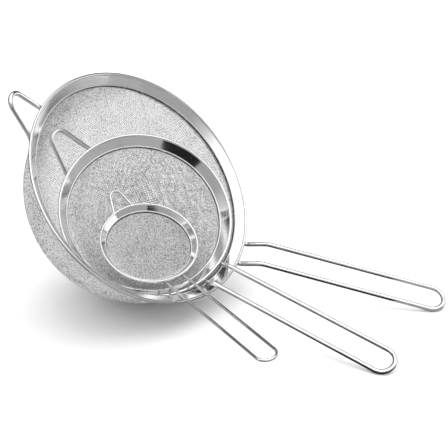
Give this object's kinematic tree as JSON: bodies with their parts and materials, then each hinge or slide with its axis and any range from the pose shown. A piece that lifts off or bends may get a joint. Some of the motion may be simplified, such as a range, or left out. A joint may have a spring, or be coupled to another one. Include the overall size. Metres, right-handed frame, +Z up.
{
  "type": "nested wire mesh strainer set",
  "caption": "Nested bowl strainers of fine woven wire mesh with funnel rims, looped wire handles and rest hooks, leaning as set down on a table.",
  "frame": {"origin": "the point where the large bowl rests on the ground the set stands on", "axes": "+Z up; +X to the side the large handle points to, the longest extent; -Y towards the side the medium and small handles reach out"},
  "size_m": [0.3365, 0.2451, 0.1769],
  "materials": {
    "polished_sheet": "polished stainless sheet",
    "core_wire": "plain drawn wire inside the rolled edge",
    "strip": "satin stainless strip",
    "wire_mesh": "plain-woven fine stainless wire cloth",
    "polished_wire": "polished stainless wire",
    "weld": "spot-weld fillet"
  },
  "bodies": {
    "large_strainer": {"large_rim": "polished_sheet", "large_edge_wire": "core_wire", "large_backing_strip": "strip", "large_mesh": "wire_mesh", "large_handle": "polished_wire", "large_handle_welds": "weld", "large_hook": "polished_wire", "large_hook_welds": "weld"},
    "medium_strainer": {"medium_rim": "polished_sheet", "medium_edge_wire": "core_wire", "medium_backing_strip": "strip", "medium_mesh": "wire_mesh", "medium_handle": "polished_wire", "medium_handle_welds": "weld", "medium_hook": "polished_wire", "medium_hook_welds": "weld"},
    "small_strainer": {"small_rim": "polished_sheet", "small_edge_wire": "core_wire", "small_backing_strip": "strip", "small_mesh": "wire_mesh", "small_handle": "polished_wire", "small_handle_welds": "weld", "small_hook": "polished_wire", "small_hook_welds": "weld"}
  },
  "joints": [
    {"name": "medium_lift", "type": "slide", "parent": "large_strainer", "child": "medium_strainer", "axis": [0.5807, -0.4838, 0.6547], "range_m": [0, 0.11]},
    {"name": "small_lift", "type": "slide", "parent": "medium_strainer", "child": "small_strainer", "axis": [0.2717, -0.6528, 0.7071], "range_m": [0, 0.07]}
  ]
}
